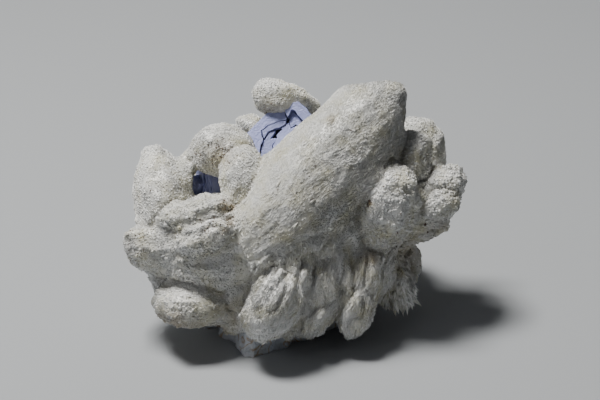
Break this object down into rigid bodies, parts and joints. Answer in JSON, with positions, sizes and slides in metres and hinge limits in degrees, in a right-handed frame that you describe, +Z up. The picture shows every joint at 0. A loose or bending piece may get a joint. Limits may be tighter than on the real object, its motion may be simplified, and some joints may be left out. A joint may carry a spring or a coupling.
{
  "type": "calcite mineral specimen",
  "caption": "Hand-sized cluster of druse-coated dog-tooth calcite crystals on broken massive calcite, with galena crystals in its gaps.",
  "frame": {"origin": "on the flat underside of the broken rind, below the middle of the crystal cluster", "axes": "+Z up from the surface it rests on, -Y towards the viewer, +X to the viewer's right"},
  "size_m": [0.0984, 0.0759, 0.0732],
  "materials": {
    "druse_calcite": "sugary crystal druse, matt cream with small glints",
    "galena": "metallic lead grey cleavage faces",
    "massive_calcite": "translucent blue-grey broken calcite, waxy"
  },
  "bodies": {
    "root": {"calcite_crystals": "druse_calcite", "galena_upper": "galena", "galena_lower": "galena", "broken_rind": "massive_calcite"}
  },
  "joints": []
}
